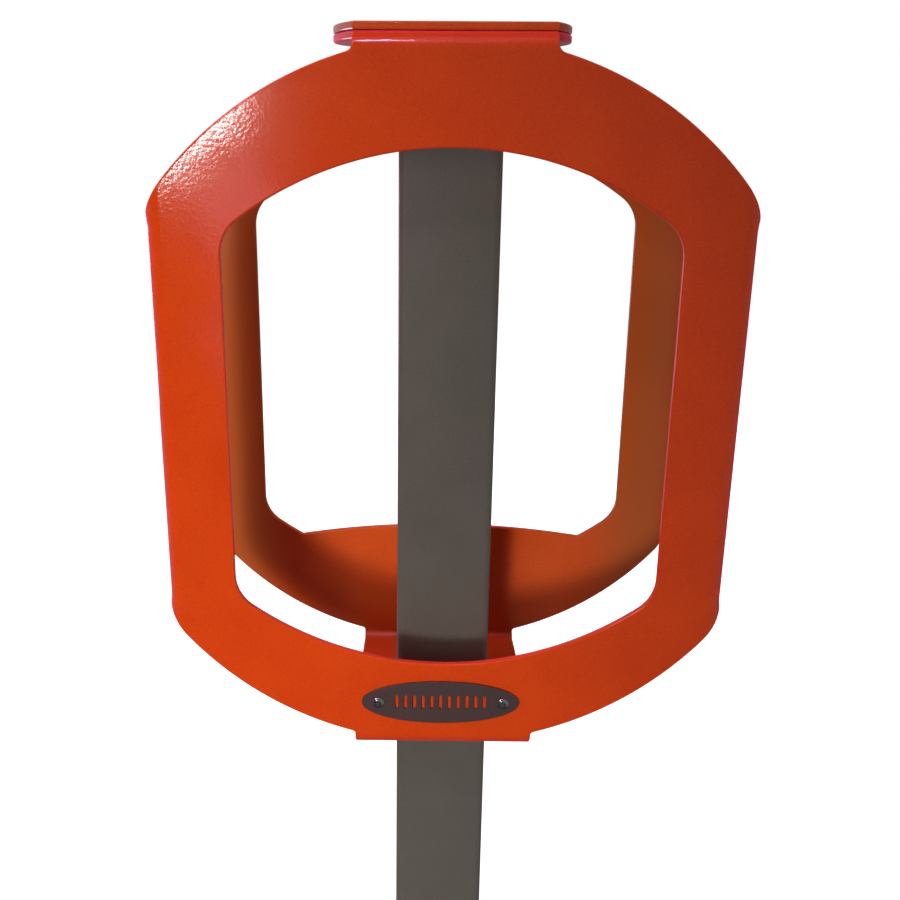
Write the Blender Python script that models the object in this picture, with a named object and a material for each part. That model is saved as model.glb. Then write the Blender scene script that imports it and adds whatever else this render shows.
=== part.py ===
"""Bicycle rack: a ring of two folded steel plates, bolted round a square post on a flange.

Metres, +Z up. The origin is on the ground, under the middle of the post. +X is to the right
as the badge is read and +Y points to the back of the rack.

Each ring plate starts as a flat blank: an outline with a window and holes, in blank
coordinates (across, along). It is thickened to the sheet and then folded: the top and bottom
tabs turn back to make two level sheets, and the straight sides turn back as short lips.
"""
import math

import bmesh
import bpy

INCH = 0.0254

# Fits
TOUCH = 0.0003            # between two pieces that touch
POST_CLEARANCE = 0.0006   # from the post to the edge of a hole that it passes through
BOLT_CLEARANCE = 0.0008   # from a bolt's shank to the edge of its hole, all round
SEAM = 0.0016             # between the two bottom sheets, at the middle of the ring

# Rack
RACK_HEIGHT = 36 * INCH   # ground to the uppermost sheet
RING_WIDTH = 14 * INCH
RING_DEPTH = 6.25 * INCH
RING_HEIGHT = 0.4493      # bottom sheets to the front plate's top sheet
SHEET = 3 / 16 * INCH
BEND_RADIUS = 0.0095      # outside of every bend

# Outer outline of a ring plate
ARC_INSET = 0.00255       # from the ring's top or bottom to its arc's, at the middle
ARC_RISE = 0.0915         # from where an arc reaches the ring's sides to its middle
CORNER_RADIUS = 0.006     # of the flat blank, where its arcs meet its side edges
TOP_TAB_WIDTH = 4.5 * INCH
TOP_TAB_FILLET = 0.0045
BOTTOM_TAB_WIDTH = 0.1176
BOTTOM_TAB_FILLET = 0.0025
SIDE_LIP = 0.5 * INCH     # depth of the side lips behind the face
LIP_END_FOLD = 0.90       # how far the lips are folded at their ends, as a share
LIP_FADE = 0.010          # height over which a lip opens out to that

# Sheets between the plates
TOP_SHEET_WIDTH = 0.144   # at the middle of the ring's depth
BOTTOM_SHEET_WIDTH = 0.120

# Windows
SIDE_STRIP = 0.0432       # ring's side to the window
WINDOW_BAND = 0.0593      # arc to the window, at the middle
WINDOW_RISE = 0.0487      # from where a window's arc reaches its sides to its middle
WINDOW_CORNER = 1 * INCH
REAR_ARCH_WIDTH = 0.2130  # the rear window's lower edge bows up over this width
REAR_ARCH_RISE = 0.0087

# Post and its plates
POST_SIZE = 2.5 * INCH
POST_WALL = 3 / 16 * INCH
POST_CORNER = 0.0045
CAP_SIZE = 0.0570
CAP_THICKNESS = 1 / 4 * INCH
COLLAR_LENGTH = 0.1120    # across the ring
COLLAR_DEPTH = 0.0900
COLLAR_THICKNESS = 3 / 16 * INCH
BASE_SIZE = 8 * INCH
BASE_THICKNESS = 3 / 8 * INCH
PLATE_CORNER = 0.0060     # collar and cap plates
BASE_CORNER = 0.0130
ANCHOR_INSET = 1 * INCH   # from the base plate's edges to an anchor hole's middle
ANCHOR_HOLE = 9 / 16 * INCH
DRAIN_HOLE = 0.0200

# Welds: length of each leg
CAP_WELD_LEG = 0.0025
COLLAR_WELD_LEG = 0.0040
BASE_WELD_LEG = 0.0070

# Bolts
BOLT_DIAMETER = 3 / 8 * INCH
TOP_BOLT_HEAD = 0.0180
TOP_BOLT_HEAD_HEIGHT = 0.0023
TOP_BOLT_SPACING = 0.0300
BOTTOM_BOLT_HEAD = 0.0160
BOTTOM_BOLT_HEAD_HEIGHT = 0.0038
BOTTOM_BOLT_SPACING_X = 0.0920
BOTTOM_BOLT_SPACING_Y = 0.0440
NUT_FLATS = 9 / 16 * INCH
NUT_HEIGHT = 0.0083
WASHER_DIAMETER = 0.0175
WASHER_THICKNESS = 0.0016
BOLT_END = 0.0020         # of the shank past its nut
BOLT_SOCKET = 0.0062
BOLT_PIN = 0.0024
SCREW_RIM = 0.25          # a domed head's straight edge, as a share of its height
SCREW_FLOOR = 0.40        # its socket's floor, as a share of its height

# Badge
BADGE_WIDTH = 0.1044
BADGE_HEIGHT = 0.0308
BADGE_THICKNESS = 0.0015
BADGE_LEVEL = 0.0344     # its middle above the ring's bottom
BADGE_SHIFT = -0.0020     # its middle sits a little to the left of the ring's
BADGE_SCREW_SPACING = 0.0824
BADGE_SCREW_DIAMETER = 0.0048
BADGE_SCREW_HEAD = 0.0082
BADGE_SCREW_HEAD_HEIGHT = 0.0020
BADGE_NUT_FLATS = 0.0095
BADGE_NUT_HEIGHT = 0.0032
BADGE_WASHER_DIAMETER = 0.0110
BADGE_WASHER_THICKNESS = 0.0010
BADGE_SCREW_END = 0.0015
BADGE_SOCKET = 0.0032
BADGE_PIN = 0.0012

# Fineness
BEND_STEPS = 6
ARC_STEPS = 12            # each quarter of a ring plate's outer arc
WINDOW_STEPS = 20         # each window arc
CORNER_STEPS = 6
ROUND_STEPS = 16          # bolts, washers and holes
BADGE_STEPS = 40
DOME_STEPS = 3

# Levels and places that follow from the sizes
RING_TOP = RACK_HEIGHT - SHEET - TOUCH
RING_MIDDLE = RING_TOP - RING_HEIGHT / 2
RING_BOTTOM = RING_TOP - RING_HEIGHT
FACE_Y = RING_DEPTH / 2
ARC_TOP = RING_HEIGHT / 2 - ARC_INSET
BADGE_Z = BADGE_LEVEL - RING_HEIGHT / 2
POST_TOP = RING_TOP - SHEET - TOUCH - CAP_THICKNESS - TOUCH
POST_FOOT = BASE_THICKNESS + TOUCH
COLLAR_TOP = RING_BOTTOM - TOUCH
BEND_LENGTH = BEND_RADIUS * math.pi / 2
LIP_START = RING_WIDTH / 2 - BEND_RADIUS
LIP_EDGE = LIP_START + BEND_LENGTH + SIDE_LIP - BEND_RADIUS

# Surfaces: linear colour, roughness and metallic value
RED_COAT = ((0.50, 0.045, 0.008), 0.38, 0.0)
GREY_COAT = ((0.055, 0.050, 0.043), 0.45, 0.0)
ZINC = ((0.42, 0.43, 0.44), 0.40, 1.0)
STAINLESS = ((0.56, 0.55, 0.53), 0.28, 1.0)
BADGE_BROWN = ((0.060, 0.035, 0.033), 0.40, 0.6)

SHARP_ANGLE = math.radians(30)   # edges turn sharp past this
CUT_TOLERANCE = 1e-7


def clear_scene():
    for item in list(bpy.data.objects):
        bpy.data.objects.remove(item, do_unlink=True)


def material(name, colour, roughness, metallic):
    made = bpy.data.materials.new(name)
    made.use_nodes = True
    shader = made.node_tree.nodes["Principled BSDF"]
    shader.inputs["Base Color"].default_value = (*colour, 1.0)
    shader.inputs["Roughness"].default_value = roughness
    shader.inputs["Metallic"].default_value = metallic
    return made


def finish_mesh(name, builder):
    """Turn a finished bmesh into a mesh that is shaded smooth between its sharp edges."""
    bmesh.ops.recalc_face_normals(builder, faces=builder.faces)
    mesh = bpy.data.meshes.new(name)
    builder.to_mesh(mesh)
    builder.free()
    mesh.shade_smooth()
    mesh.set_sharp_from_angle(angle=SHARP_ANGLE)
    return mesh


def add_object(name, mesh, surface, parent, place=(0, 0, 0)):
    """Put a mesh in the scene; copies of a repeated piece share their mesh."""
    if not mesh.materials:
        mesh.materials.append(surface)
    made = bpy.data.objects.new(name, mesh)
    made.parent = parent
    made.location = place
    bpy.context.scene.collection.objects.link(made)


def add_datum(name, place, rotation=(0, 0, 0)):
    """An empty that carries the pieces which are measured from it."""
    made = bpy.data.objects.new(name, None)
    made.location = place
    made.rotation_euler = rotation
    bpy.context.scene.collection.objects.link(made)
    return made


# Flat outlines: lists of (x, y), anticlockwise

def arc_points(centre, radius, start, end, steps):
    """Points along an arc, both ends included; angles in radians."""
    angles = [start + (end - start) * i / steps for i in range(steps + 1)]
    return [(centre[0] + radius * math.cos(a), centre[1] + radius * math.sin(a)) for a in angles]


def circle(centre, diameter, steps=ROUND_STEPS):
    return arc_points(centre, diameter / 2, 0, 2 * math.pi, steps)[:-1]


def hexagon(centre, flats):
    return arc_points(centre, flats / math.sqrt(3), 0, 2 * math.pi, 6)[:-1]


def rounded_rectangle(width, height, radius, steps=CORNER_STEPS):
    points = []
    for quarter, (side, end) in enumerate(((1, 1), (-1, 1), (-1, -1), (1, -1))):
        centre = (side * (width / 2 - radius), end * (height / 2 - radius))
        start = quarter * math.pi / 2
        points += arc_points(centre, radius, start, start + math.pi / 2, steps)
    return points


def ellipse(width, height, steps=BADGE_STEPS):
    angles = [2 * math.pi * i / steps for i in range(steps)]
    return [(width / 2 * math.cos(a), height / 2 * math.sin(a)) for a in angles]


def mirror_across(points):
    """The same outline on the other side of the middle line, in reverse order."""
    return [(-x, y) for x, y in reversed(points)]


def flip_along(points):
    """The same outline upside down, in reverse order."""
    return [(x, -y) for x, y in reversed(points)]


# Solids from outlines

def fill(builder, outline, holes):
    edges = []
    for loop in [outline, *holes]:
        corners = [builder.verts.new((x, y, 0.0)) for x, y in loop]
        edges += [builder.edges.new((corners[i - 1], corners[i])) for i in range(len(corners))]
    bmesh.ops.triangle_fill(builder, use_beauty=True, use_dissolve=False, edges=edges)


def thicken(builder, thickness):
    """Turn a flat sheet at z 0 into a closed slab up to the thickness."""
    sheet = builder.faces[:]
    made = bmesh.ops.extrude_face_region(builder, geom=sheet, use_keep_orig=True)
    for item in made["geom"]:
        if isinstance(item, bmesh.types.BMVert):
            item.co.z = thickness


def slab(outline, holes, bottom, top):
    """A level plate with upright edges, as a bmesh."""
    builder = bmesh.new()
    fill(builder, outline, holes)
    thicken(builder, top - bottom)
    bmesh.ops.translate(builder, vec=(0, 0, bottom), verts=builder.verts)
    return builder


def turn(profile, steps=ROUND_STEPS):
    """A turned solid: profile is (radius, height) from axis to axis, or a closed ring."""
    builder = bmesh.new()
    rings = []
    for radius, height in profile:
        if radius == 0:
            rings.append([builder.verts.new((0, 0, height))])
        else:
            around = circle((0, 0), 2 * radius, steps)
            rings.append([builder.verts.new((x, y, height)) for x, y in around])
    if profile[0][0] != 0:
        rings.append(rings[0])
    for low, high in zip(rings, rings[1:]):
        for i in range(steps):
            builder.faces.new(ring_side(low, i) + ring_side(high, i)[::-1])
    return builder


def ring_side(ring, i):
    """One side of a ring of corners, or the single point that stands for it on the axis."""
    return ring[:] if len(ring) == 1 else [ring[i - 1], ring[i]]


# Ring plates

def arc_through(half_width, top, rise):
    """Centre height and radius of an arc with its top and its rise over the half width."""
    radius = (half_width ** 2 + rise ** 2) / (2 * rise)
    return top - radius, radius


def outer_arc():
    return arc_through(RING_WIDTH / 2, ARC_TOP, ARC_RISE)


def corner_centre(centre, radius, side, rounding):
    """Middle of the rounding between an arc and an upright side."""
    across = side - rounding
    return across, centre + math.sqrt((radius - rounding) ** 2 - across ** 2)


def lip_corner():
    return corner_centre(*outer_arc(), LIP_EDGE, CORNER_RADIUS)


def lip_fold(along):
    """How far a side lip is folded at a height; 1 is square to the face."""
    past = min(max((abs(along) - lip_corner()[1]) / LIP_FADE, 0), 1)
    return 1 - (1 - LIP_END_FOLD) * math.sin(past * math.pi / 2) ** 2


def sheet_half_width(depth, width, middle_width):
    """Half the width of a bowed sheet, at a depth behind the face."""
    span = RING_DEPTH / 2 - BEND_RADIUS
    offset = depth - RING_DEPTH / 2
    bow = (middle_width - width) / 2
    return width / 2 + bow * (1 - (offset / span) ** 2)


def tab_points(tab_start, end_depth, width, fillet_radius, middle_width):
    """Right half of the upper tab: from the outer arc, up the tab and along to its end."""
    centre, radius = outer_arc()
    fillet_x = width / 2 + fillet_radius
    fillet_z = centre + math.sqrt((radius + fillet_radius) ** 2 - fillet_x ** 2)
    start = math.atan2(centre - fillet_z, -fillet_x)
    fillet = arc_points((fillet_x, fillet_z), fillet_radius, start, -math.pi, CORNER_STEPS // 2)
    depths = [BEND_RADIUS + (end_depth - BEND_RADIUS) * i / ARC_STEPS for i in range(ARC_STEPS + 1)]
    flat = [(sheet_half_width(d, width, middle_width), tab_start + BEND_LENGTH + d - BEND_RADIUS)
            for d in depths]
    return fillet + flat


def quarter_points(tab):
    """Right upper quarter of a blank: side corner, outer arc and tab."""
    centre, radius = outer_arc()
    corner_x, corner_z = lip_corner()
    meet = math.atan2(corner_z - centre, corner_x)
    tab_meet = math.atan2(tab[0][1] - centre, tab[0][0])
    corner = arc_points((corner_x, corner_z), CORNER_RADIUS, 0, meet, CORNER_STEPS)
    arc = arc_points((0, centre), radius, meet, tab_meet, ARC_STEPS)
    return corner + arc[1:-1] + tab


def window_quarter(end_x):
    """Right upper quarter of a window, from its side to where its arc is end_x from the middle."""
    side = RING_WIDTH / 2 - SIDE_STRIP
    centre, radius = arc_through(side, ARC_TOP - WINDOW_BAND, WINDOW_RISE)
    corner_x, corner_z = corner_centre(centre, radius, side, WINDOW_CORNER)
    meet = math.atan2(corner_z - centre, corner_x)
    corner = arc_points((corner_x, corner_z), WINDOW_CORNER, 0, meet, CORNER_STEPS)
    steps = max(round(WINDOW_STEPS * (1 - end_x / corner_x)), 2)
    return corner + arc_points((0, centre), radius, meet, math.acos(end_x / radius), steps)[1:]


def window_half():
    quarter = window_quarter(0)
    return quarter + mirror_across(quarter[:-1])


def arched_half():
    """A window's lower half, drawn upside down, whose edge bows into the window."""
    quarter = window_quarter(REAR_ARCH_WIDTH / 2)
    level = quarter[-1][1]
    centre, radius = arc_through(REAR_ARCH_WIDTH / 2, REAR_ARCH_RISE, REAR_ARCH_RISE)
    sweep = math.asin(REAR_ARCH_WIDTH / 2 / radius)
    bow = arc_points((0, centre), radius, math.pi / 2 - sweep, math.pi / 2 + sweep, WINDOW_STEPS)
    arch = [(x, level - z) for x, z in bow[1:-1]]
    return quarter + arch + mirror_across(quarter)


def fold(across, along, inward, top_start, bottom_start):
    """Blank to folded plate: gives x, depth behind the face, and height from the middle."""
    if abs(across) > LIP_START:
        past, depth = bend(abs(across) - LIP_START, inward, lip_fold(along))
        return math.copysign(LIP_START + past, across), depth, along
    if along > top_start:
        past, depth = bend(along - top_start, inward)
        return across, depth, top_start + past
    if along < -bottom_start:
        past, depth = bend(-along - bottom_start, inward)
        return across, depth, -bottom_start - past
    return across, inward, along


def bend(length, inward, share=1):
    """Where a point lies past a bend's start: distance onward, and depth."""
    radius = BEND_RADIUS / share
    angle = min(length, BEND_LENGTH) / radius
    straight = max(length - BEND_LENGTH, 0)
    onward = (radius - inward) * math.sin(angle) + straight * math.cos(angle)
    return onward, radius - (radius - inward) * math.cos(angle) + straight * math.sin(angle)


def cut_lines(builder, axis, places, faces=None):
    """Cut the flat blank along lines, so that it can bend there."""
    normal = (1, 0, 0) if axis == 0 else (0, 1, 0)
    for place in places:
        chosen = faces() if faces else builder.faces[:]
        edges = {edge for face in chosen for edge in face.edges}
        verts = {vert for face in chosen for vert in face.verts}
        point = (place, 0, 0) if axis == 0 else (0, place, 0)
        bmesh.ops.bisect_plane(builder, geom=[*chosen, *edges, *verts], dist=CUT_TOLERANCE,
                               plane_co=point, plane_no=normal)


def ring_plate(name, surface, parent, sheet_top, face_holes, front):
    """One folded plate; sheet_top is its top sheet's upper face, above the plate's middle."""
    top_start = sheet_top - BEND_RADIUS
    bottom_start = RING_HEIGHT / 2 - BEND_RADIUS
    seam_depth = RING_DEPTH / 2 - SEAM / 2
    upper = quarter_points(tab_points(top_start, RING_DEPTH - BEND_RADIUS,
                                      TOP_TAB_WIDTH, TOP_TAB_FILLET, TOP_SHEET_WIDTH))
    lower = quarter_points(tab_points(bottom_start, seam_depth,
                                      BOTTOM_TAB_WIDTH, BOTTOM_TAB_FILLET, BOTTOM_SHEET_WIDTH))
    lower += notch_points(bottom_start, seam_depth)
    right = flip_along(lower) + upper
    window_bottom = window_half() if front else arched_half()
    holes = [window_half() + flip_along(window_bottom), *face_holes]
    holes += sheet_holes(TOP_BOLT_SPACING, TOP_BOLT_SPACING, top_start, 1, 2)
    holes += sheet_holes(BOTTOM_BOLT_SPACING_X, BOTTOM_BOLT_SPACING_Y, bottom_start, -1, 1)

    builder = bmesh.new()
    fill(builder, right + mirror_across(right), holes)
    steps = [BEND_LENGTH * i / BEND_STEPS for i in range(BEND_STEPS + 1)]
    cut_lines(builder, 1, [top_start + s for s in steps])
    cut_lines(builder, 1, [-bottom_start - s for s in steps])
    for side in (1, -1):
        cut_lines(builder, 0, [side * (LIP_START + s) for s in steps])
    fade = [lip_corner()[1] + LIP_FADE * i / CORNER_STEPS for i in range(CORNER_STEPS + 1)]

    def lip_faces():
        return [face for face in builder.faces if abs(face.calc_center_median().x) > LIP_START]

    cut_lines(builder, 1, fade + [-place for place in fade], lip_faces)
    thicken(builder, SHEET)
    for vert in builder.verts:
        x, depth, height = fold(*vert.co, top_start, bottom_start)
        y = depth - FACE_Y if front else FACE_Y - depth
        vert.co = (x, y, height)
    bmesh.ops.triangulate(builder, faces=builder.faces[:])
    add_object(name, finish_mesh(name, builder), surface, parent)


def notch_points(tab_start, seam_depth):
    """Right half of the notch for the post, in a bottom sheet's free end, from the outside."""
    half = POST_SIZE / 2 + POST_CLEARANCE
    inner = RING_DEPTH / 2 - half
    flat = tab_start + BEND_LENGTH - BEND_RADIUS
    corner = POST_CORNER + POST_CLEARANCE
    rounding = arc_points((half - corner, flat + inner + corner), corner, 0, -math.pi / 2,
                          CORNER_STEPS // 2)
    return [(half, flat + seam_depth), *rounding]


def sheet_holes(spacing_x, spacing_y, tab_start, end, rows):
    """Bolt holes in a sheet; end is 1 for the top sheet and -1 for the bottom one."""
    flat = tab_start + BEND_LENGTH - BEND_RADIUS
    diameter = BOLT_DIAMETER + 2 * BOLT_CLEARANCE
    made = []
    for row in range(rows):
        depth = RING_DEPTH / 2 + (row - 0.5) * spacing_y
        for side in (-1, 1):
            made.append(circle((side * spacing_x / 2, end * (flat + depth)), diameter))
    return made


def build_ring(surface, ring):
    badge_hole = BADGE_SCREW_DIAMETER + 2 * TOUCH
    badge_holes = [circle((BADGE_SHIFT + x, BADGE_Z), badge_hole) for x in badge_screw_places()]
    front_top = RING_HEIGHT / 2
    rear_top = front_top + TOUCH + SHEET
    ring_plate("ring_front_plate", surface, ring, front_top, badge_holes, True)
    ring_plate("ring_rear_plate", surface, ring, rear_top, [], False)


# Post and what is welded to it

def weld_bead(outer, corner, leg, level, up):
    """A fillet bead round a square piece, its upright leg against the piece's side."""
    builder = bmesh.new()
    inner = rounded_rectangle(outer + 2 * TOUCH, outer + 2 * TOUCH, corner + TOUCH)
    reach = outer + 2 * (TOUCH + leg)
    wide = rounded_rectangle(reach, reach, corner + TOUCH + leg)
    direction = 1 if up else -1
    flat = level + direction * TOUCH
    loops = [[(x, y, flat) for x, y in wide],
             [(x, y, flat + direction * leg) for x, y in inner],
             [(x, y, flat) for x, y in inner]]
    rings = [[builder.verts.new(point) for point in loop] for loop in loops]
    for low, high in zip(rings, rings[1:] + rings[:1]):
        for i in range(len(low)):
            builder.faces.new([low[i - 1], low[i], high[i], high[i - 1]])
    return builder


def bolt_holes(places):
    return [circle(place, BOLT_DIAMETER + 2 * BOLT_CLEARANCE) for place in places.values()]


def build_post(surface, post):
    inner_size = POST_SIZE - 2 * POST_WALL
    outside = rounded_rectangle(POST_SIZE, POST_SIZE, POST_CORNER)
    inside = rounded_rectangle(inner_size, inner_size, max(POST_CORNER - POST_WALL, 2 * TOUCH))
    tube = slab(outside, [inside], POST_FOOT, POST_TOP)

    cap_bottom = POST_TOP + TOUCH
    cap_outline = rounded_rectangle(CAP_SIZE, CAP_SIZE, PLATE_CORNER)
    cap = slab(cap_outline, bolt_holes(top_bolt_places()), cap_bottom, cap_bottom + CAP_THICKNESS)

    opening = POST_SIZE + 2 * TOUCH
    collar_holes = bolt_holes(bottom_bolt_places())
    collar_holes.append(rounded_rectangle(opening, opening, POST_CORNER + TOUCH))
    collar_outline = rounded_rectangle(COLLAR_LENGTH, COLLAR_DEPTH, PLATE_CORNER)
    collar_bottom = COLLAR_TOP - COLLAR_THICKNESS
    collar = slab(collar_outline, collar_holes, collar_bottom, COLLAR_TOP)

    base_outline = rounded_rectangle(BASE_SIZE, BASE_SIZE, BASE_CORNER)
    reach = BASE_SIZE / 2 - ANCHOR_INSET
    base_holes = [circle((x * reach, y * reach), ANCHOR_HOLE) for x in (-1, 1) for y in (-1, 1)]
    base_holes.append(circle((0, 0), DRAIN_HOLE))
    base = slab(base_outline, base_holes, 0, BASE_THICKNESS)

    pieces = {
        "post_tube": tube,
        "post_cap_plate": cap,
        "post_cap_weld": weld_bead(CAP_SIZE, PLATE_CORNER, CAP_WELD_LEG, POST_TOP, True),
        "collar_plate": collar,
        "collar_weld": weld_bead(POST_SIZE, POST_CORNER, COLLAR_WELD_LEG, collar_bottom, False),
        "base_plate": base,
        "base_weld": weld_bead(POST_SIZE, POST_CORNER, BASE_WELD_LEG, BASE_THICKNESS, True),
    }
    for name, builder in pieces.items():
        add_object(name, finish_mesh(name, builder), surface, post)


# Fasteners

def four_places(spacing_x, spacing_y):
    """The corners of a rectangle round the post, by their names."""
    return {f"{end}_{side}": (x * spacing_x / 2, y * spacing_y / 2)
            for y, end in ((-1, "front"), (1, "rear"))
            for x, side in ((-1, "left"), (1, "right"))}


def top_bolt_places():
    return four_places(TOP_BOLT_SPACING, TOP_BOLT_SPACING)


def bottom_bolt_places():
    return four_places(BOTTOM_BOLT_SPACING_X, BOTTOM_BOLT_SPACING_Y)


def badge_screw_places():
    return [-BADGE_SCREW_SPACING / 2, BADGE_SCREW_SPACING / 2]


def domed_screw(head, head_height, shank, length, socket, pin):
    """A domed screw, head up, with a pin in its socket; its head's seat is at height 0."""
    rim = head_height * SCREW_RIM
    floor = head_height * SCREW_FLOOR
    rise = head_height - rim
    bulge = [math.asin(i / DOME_STEPS) for i in range(DOME_STEPS)]
    crown = [(socket / 2 + (head - socket) / 2 * math.cos(a), rim + rise * math.sin(a)) for a in bulge]
    return turn([(0, -length), (shank / 2, -length), (shank / 2, 0), (head / 2, 0), *crown,
                 (socket / 2, head_height), (socket / 2, floor), (pin / 2, floor),
                 (pin / 2, head_height - rim), (0, head_height - rim)])


def flat_washer(bore, outer, thickness):
    return turn([(bore / 2, 0), (outer / 2, 0), (outer / 2, thickness), (bore / 2, thickness)])


def nut(flats, bore, height):
    return slab(hexagon((0, 0), flats), [circle((0, 0), bore)], 0, height)


def add_copies(name, builder, surface, parent, places, level):
    """One object for each place, all with the same mesh."""
    mesh = finish_mesh(name, builder)
    for place_name, (x, y) in places.items():
        add_object(f"{name}_{place_name}", mesh, surface, parent, (x, y, level))


def build_top_bolts(surface, nut_surface, post):
    seat = RACK_HEIGHT + TOUCH
    nut_bottom = POST_TOP - NUT_HEIGHT
    bolt = domed_screw(TOP_BOLT_HEAD, TOP_BOLT_HEAD_HEIGHT, BOLT_DIAMETER,
                       seat - nut_bottom + BOLT_END, BOLT_SOCKET, BOLT_PIN)
    weld_nut = nut(NUT_FLATS, BOLT_DIAMETER + 2 * TOUCH, NUT_HEIGHT)
    add_copies("top_bolt", bolt, surface, post, top_bolt_places(), seat)
    add_copies("top_weld_nut", weld_nut, nut_surface, post, top_bolt_places(), nut_bottom)


def build_bottom_bolts(surface, post):
    seat = RING_BOTTOM + SHEET + TOUCH
    washer_bottom = COLLAR_TOP - COLLAR_THICKNESS - TOUCH - WASHER_THICKNESS
    nut_bottom = washer_bottom - TOUCH - NUT_HEIGHT
    bore = BOLT_DIAMETER + 2 * TOUCH
    places = bottom_bolt_places()
    bolt = domed_screw(BOTTOM_BOLT_HEAD, BOTTOM_BOLT_HEAD_HEIGHT, BOLT_DIAMETER,
                       seat - nut_bottom + BOLT_END, BOLT_SOCKET, BOLT_PIN)
    washer = flat_washer(bore, WASHER_DIAMETER, WASHER_THICKNESS)
    add_copies("bottom_bolt", bolt, surface, post, places, seat)
    add_copies("bottom_washer", washer, surface, post, places, washer_bottom)
    add_copies("bottom_nut", nut(NUT_FLATS, bore, NUT_HEIGHT), surface, post, places, nut_bottom)


def build_badge(plate_surface, screw_surface, badge):
    """The badge and its screws; heights are measured outwards from the front plate's face."""
    bore = BADGE_SCREW_DIAMETER + 2 * TOUCH
    holes = [circle((x, 0), bore) for x in badge_screw_places()]
    plate = slab(ellipse(BADGE_WIDTH, BADGE_HEIGHT), holes, 0, BADGE_THICKNESS)
    add_object("badge_plate", finish_mesh("badge_plate", plate), plate_surface, badge, (0, 0, TOUCH))

    left, right = badge_screw_places()
    places = {"left": (left, 0), "right": (right, 0)}
    seat = TOUCH + BADGE_THICKNESS + TOUCH
    washer_bottom = -SHEET - TOUCH - BADGE_WASHER_THICKNESS
    nut_bottom = washer_bottom - TOUCH - BADGE_NUT_HEIGHT
    screw = domed_screw(BADGE_SCREW_HEAD, BADGE_SCREW_HEAD_HEIGHT, BADGE_SCREW_DIAMETER,
                        seat - nut_bottom + BADGE_SCREW_END, BADGE_SOCKET, BADGE_PIN)
    washer = flat_washer(bore, BADGE_WASHER_DIAMETER, BADGE_WASHER_THICKNESS)
    back_nut = nut(BADGE_NUT_FLATS, bore, BADGE_NUT_HEIGHT)
    add_copies("badge_screw", screw, screw_surface, badge, places, seat)
    add_copies("badge_washer", washer, screw_surface, badge, places, washer_bottom)
    add_copies("badge_nut", back_nut, screw_surface, badge, places, nut_bottom)


def main():
    clear_scene()
    red = material("red_powder_coat", *RED_COAT)
    grey = material("grey_powder_coat", *GREY_COAT)
    zinc = material("zinc_plate", *ZINC)
    stainless = material("stainless", *STAINLESS)
    badge_metal = material("badge_metal", *BADGE_BROWN)

    post = add_datum("post", (0, 0, 0))
    ring = add_datum("ring", (0, 0, RING_MIDDLE))
    badge_place = (BADGE_SHIFT, -FACE_Y, RING_MIDDLE + BADGE_Z)
    badge = add_datum("badge", badge_place, (math.pi / 2, 0, 0))
    build_ring(red, ring)
    build_post(grey, post)
    build_top_bolts(stainless, zinc, post)
    build_bottom_bolts(stainless, post)
    build_badge(badge_metal, stainless, badge)


main()
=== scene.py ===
import math

import bmesh
import bpy
from mathutils import Matrix, Vector


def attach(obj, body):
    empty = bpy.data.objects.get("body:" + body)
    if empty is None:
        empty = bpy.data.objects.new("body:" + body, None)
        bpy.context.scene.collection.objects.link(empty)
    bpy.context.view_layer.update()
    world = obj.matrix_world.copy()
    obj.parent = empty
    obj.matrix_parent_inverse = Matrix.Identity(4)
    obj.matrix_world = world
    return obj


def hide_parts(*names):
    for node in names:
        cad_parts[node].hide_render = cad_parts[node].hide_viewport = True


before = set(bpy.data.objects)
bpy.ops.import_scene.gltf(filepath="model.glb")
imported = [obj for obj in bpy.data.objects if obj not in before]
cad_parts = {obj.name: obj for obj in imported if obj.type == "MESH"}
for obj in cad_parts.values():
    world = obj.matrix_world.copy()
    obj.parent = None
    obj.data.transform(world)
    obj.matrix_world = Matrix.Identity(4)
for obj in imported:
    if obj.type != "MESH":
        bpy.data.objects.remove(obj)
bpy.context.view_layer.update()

# Sizes, in metres, as the part's source has them
INCH = 0.0254
TOUCH = 0.0003
POST_CLEARANCE = 0.0006
BOLT_CLEARANCE = 0.0008
SEAM = 0.0016
RACK_HEIGHT = 36 * INCH
RING_WIDTH = 14 * INCH
RING_DEPTH = 6.25 * INCH
RING_HEIGHT = 0.4493
SHEET = 3 / 16 * INCH
BEND_RADIUS = 0.0095
ARC_INSET = 0.00255
ARC_RISE = 0.0915
CORNER_RADIUS = 0.006
TOP_TAB_WIDTH = 4.5 * INCH
TOP_TAB_FILLET = 0.0045
BOTTOM_TAB_WIDTH = 0.1176
BOTTOM_TAB_FILLET = 0.0025
SIDE_LIP = 0.5 * INCH
LIP_END_FOLD = 0.90
LIP_FADE = 0.010
TOP_SHEET_WIDTH = 0.144
BOTTOM_SHEET_WIDTH = 0.120
SIDE_STRIP = 0.0432
WINDOW_BAND = 0.0593
WINDOW_RISE = 0.0487
WINDOW_CORNER = 1 * INCH
REAR_ARCH_WIDTH = 0.2130
REAR_ARCH_RISE = 0.0087
POST_SIZE = 2.5 * INCH
POST_WALL = 3 / 16 * INCH
POST_CORNER = 0.0045
CAP_SIZE = 0.0570
CAP_THICKNESS = 1 / 4 * INCH
COLLAR_LENGTH = 0.1120
COLLAR_DEPTH = 0.0900
COLLAR_THICKNESS = 3 / 16 * INCH
BASE_SIZE = 8 * INCH
BASE_THICKNESS = 3 / 8 * INCH
PLATE_CORNER = 0.0060
BASE_CORNER = 0.0130
ANCHOR_INSET = 1 * INCH
ANCHOR_HOLE = 9 / 16 * INCH
DRAIN_HOLE = 0.0200
CAP_WELD_LEG = 0.0025
COLLAR_WELD_LEG = 0.0040
BASE_WELD_LEG = 0.0070
BOLT_DIAMETER = 3 / 8 * INCH
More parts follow.
